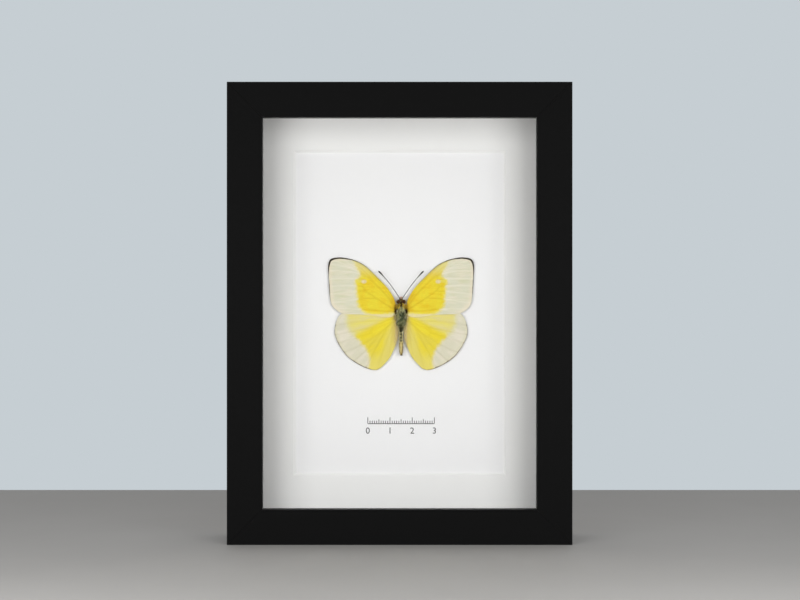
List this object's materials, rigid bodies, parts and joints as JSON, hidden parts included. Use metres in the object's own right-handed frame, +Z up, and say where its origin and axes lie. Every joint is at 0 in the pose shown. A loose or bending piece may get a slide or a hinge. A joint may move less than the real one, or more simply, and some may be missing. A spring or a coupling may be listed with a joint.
{
  "type": "framed butterfly specimen",
  "caption": "Upright black box frame, glazed, with a bevelled white window mat and a spread yellow butterfly on a white card.",
  "frame": {"origin": "middle of the underside of the bottom rail", "axes": "+Z up, +X to the right as seen from the front, the glazed front faces -Y"},
  "size_m": [0.15, 0.035, 0.201],
  "materials": {
    "black_moulding": "smooth matte black foil over fibreboard",
    "steel": "zinc plated, satin",
    "clear_glass": "clear float glass",
    "spacer_board": "dark grey faced board",
    "mat_board": "fine toothed white mat board",
    "white_card": "smooth white card",
    "hardboard": "brown hardboard",
    "insect_body": "downy, grey green",
    "forewing": "powdery yellow, pale outside",
    "hindwing": "powdery yellow, pale outside",
    "antenna": "dark brown"
  },
  "bodies": {
    "root": {"rail_top": "black_moulding", "rail_bottom": "black_moulding", "rail_left": "black_moulding", "rail_right": "black_moulding", "corner_nail_1": "steel", "corner_nail_2": "steel", "corner_nail_3": "steel", "corner_nail_4": "steel", "glass_pane": "clear_glass", "spacer_top": "spacer_board", "spacer_bottom": "spacer_board", "spacer_left": "spacer_board", "spacer_right": "spacer_board", "window_mat": "mat_board", "backing_card": "white_card", "back_panel": "hardboard", "back_tab_1": "steel", "back_tab_2": "steel", "back_tab_3": "steel", "back_tab_4": "steel", "back_tab_5": "steel", "back_tab_6": "steel", "hanger": "steel", "hanger_rivet_left": "steel", "hanger_rivet_right": "steel", "butterfly_body": "insect_body", "forewing_left": "forewing", "forewing_right": "forewing", "hindwing_left": "hindwing", "hindwing_right": "hindwing", "antenna_left": "antenna", "antenna_right": "antenna"}
  },
  "joints": []
}
